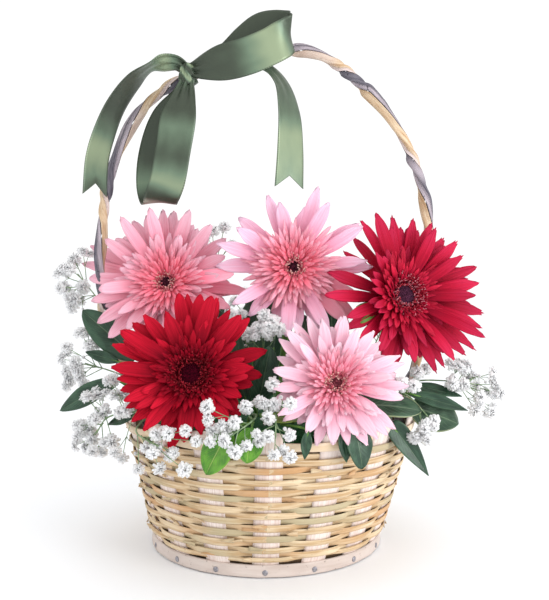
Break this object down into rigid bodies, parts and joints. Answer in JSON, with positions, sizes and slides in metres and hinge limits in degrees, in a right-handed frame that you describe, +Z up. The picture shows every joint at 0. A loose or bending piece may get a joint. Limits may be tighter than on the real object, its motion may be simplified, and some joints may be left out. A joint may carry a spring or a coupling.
{
  "type": "flower basket arrangement",
  "caption": "Flower arrangement in a round woven basket with a twisted arch handle and ribbon bow: double gerberas, leaves and gypsophila in floral foam.",
  "frame": {"origin": "middle of the base board's underside", "axes": "+Z up, +X to the viewer's right, the front looks along -Y"},
  "size_m": [0.3404, 0.2416, 0.3975],
  "materials": {
    "board": "plain plywood",
    "band": "pale bent chip wood",
    "weave": "natural woven chip strips",
    "liner": "dark green, semi-matt",
    "foam": "open-celled, matt",
    "bark": "grey bark",
    "peeled": "peeled twig",
    "ribbon": "sage green satin",
    "pink_petals": "soft petal",
    "pale_pink_petals": "soft petal",
    "red_petals": "soft petal",
    "eye": "dark packed florets",
    "stem": "green stem",
    "leaf": "waxy leaf",
    "bright_leaf": "thin bright leaf",
    "gypsophila": "papery white"
  },
  "bodies": {
    "root": {"base_board": "board", "base_band": "band", "woven_wall": "weave", "liner_tub": "liner", "floral_foam": "foam", "handle_bark_rod": "bark", "handle_peeled_rod": "peeled", "ribbon_bow": "ribbon", "pink_left_petals": "pink_petals", "pink_left_eye": "eye", "pink_left_stem": "stem", "pink_back_petals": "pink_petals", "pink_back_eye": "eye", "pink_back_stem": "stem", "pink_front_petals": "pale_pink_petals", "pink_front_eye": "eye", "pink_front_stem": "stem", "red_left_petals": "red_petals", "red_left_eye": "eye", "red_left_stem": "stem", "red_right_petals": "red_petals", "red_right_eye": "eye", "red_right_stem": "stem", "leaves_left_upper": "leaf", "leaves_left_pointed": "leaf", "leaves_left_low": "leaf", "leaves_right_large": "leaf", "leaves_right_round": "leaf", "leaves_right_long": "leaf", "leaves_right_hanging": "leaf", "leaves_front_bright": "bright_leaf", "leaves_front_olive": "leaf", "leaves_front_small": "leaf", "leaves_front_pair": "leaf", "leaves_middle": "leaf", "leaves_inner_left": "leaf", "leaves_inner_right": "leaf", "leaves_back_left": "leaf", "leaves_back_middle": "leaf", "leaves_back_right": "leaf", "gypsophila_left_upper": "gypsophila", "gypsophila_left_middle": "gypsophila", "gypsophila_left_low": "gypsophila", "gypsophila_front_left": "gypsophila", "gypsophila_front_middle": "gypsophila", "gypsophila_front_right": "gypsophila", "gypsophila_right_upper": "gypsophila", "gypsophila_right_low": "gypsophila", "gypsophila_middle": "gypsophila", "gypsophila_behind": "gypsophila", "gypsophila_back_left": "gypsophila", "gypsophila_back_right": "gypsophila", "gypsophila_back_middle": "gypsophila"}
  },
  "joints": []
}
